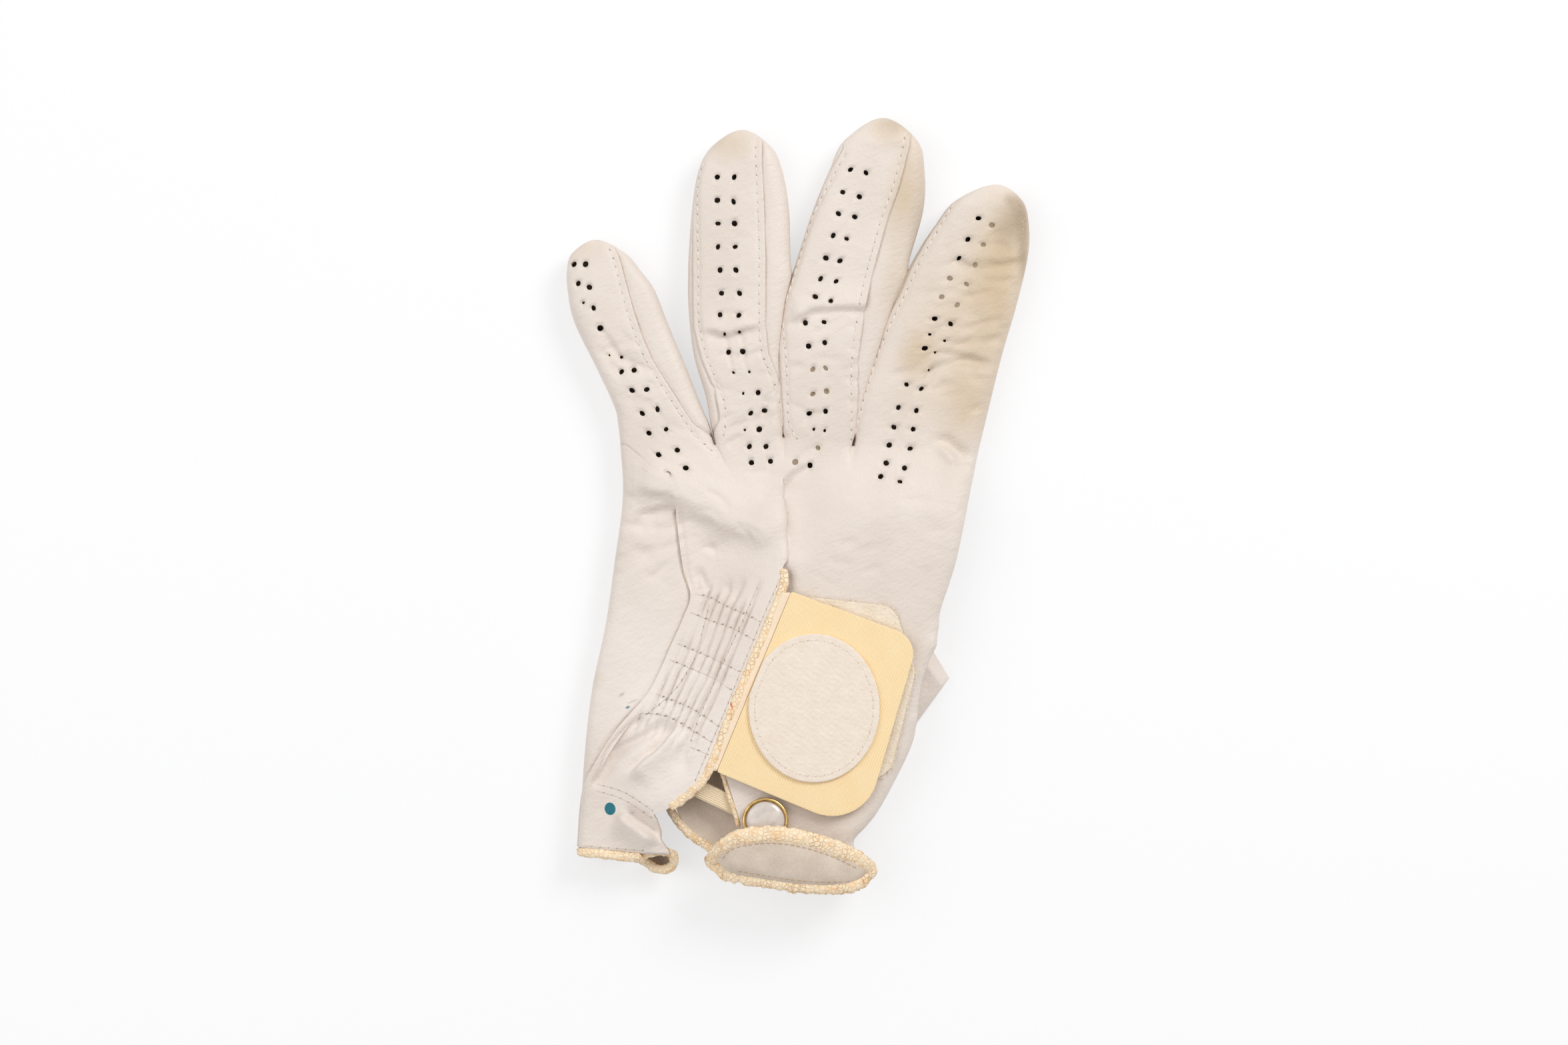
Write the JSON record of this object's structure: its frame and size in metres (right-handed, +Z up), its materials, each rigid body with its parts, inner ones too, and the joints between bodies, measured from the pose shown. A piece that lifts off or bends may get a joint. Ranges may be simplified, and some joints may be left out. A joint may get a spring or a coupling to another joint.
{
  "type": "golf glove",
  "caption": "White leather golf glove for the left hand, lying flat with its thumb folded under, with gathered back, wrist slit, hook-and-loop tab and snap-off ball marker.",
  "frame": {"origin": "middle of the glove's footprint, on the surface that it lies on", "axes": "+X to the index finger's side, +Y to the fingertips, +Z up out of the back of the hand"},
  "size_m": [0.1316, 0.2189, 0.0274],
  "materials": {
    "leather": "soft white glove leather, worn and creased",
    "edge_tape": "aged cream binding tape",
    "elastic": "woven elastic tape",
    "tab_tape": "ribbed pale yellow woven tape",
    "hooks": "nylon hooks",
    "loop_pile": "cream nylon loop pile",
    "felt": "off-white wool felt",
    "brass": "polished, lightly tarnished",
    "pearl": "pearly white cap",
    "spring_steel": "nickel-plated steel"
  },
  "bodies": {
    "glove": {"back_panel": "leather", "palm_panel": "leather", "fourchette_little_ring": "leather", "fourchette_ring_middle": "leather", "fourchette_middle_index": "leather", "slit_binding_left": "edge_tape", "slit_binding_right": "edge_tape", "cuff_binding_left": "edge_tape", "cuff_binding_right": "edge_tape", "cuff_binding_palm": "edge_tape", "shirr_elastic_upper": "elastic", "shirr_elastic_middle": "elastic", "shirr_elastic_lower": "elastic", "wrist_elastic": "elastic", "loop_patch": "loop_pile", "snap_stud": "spring_steel", "snap_washer": "spring_steel"},
    "thumb": {"thumb_stall": "leather"},
    "tab": {"closing_tab": "tab_tape", "hook_field": "hooks", "felt_patch": "felt"},
    "marker": {"marker_ring": "brass", "marker_pearl": "pearl", "marker_socket": "spring_steel"}
  },
  "joints": [
    {"name": "thumb_swing", "type": "hinge", "parent": "glove", "child": "thumb", "pos_m": [0.027, -0.045, 0.0075], "axis": [0, 0, 1], "range_deg": [0, 100]},
    {"name": "tab_peel", "type": "hinge", "parent": "glove", "child": "tab", "pos_m": [-0.01265, -0.0507, 0.0197], "axis": [-0.3818, -0.9243, 0], "range_deg": [0, 150]},
    {"name": "marker_pull", "type": "slide", "parent": "glove", "child": "marker", "axis": [0, 0, 1], "range_m": [0, 0.0025]}
  ]
}
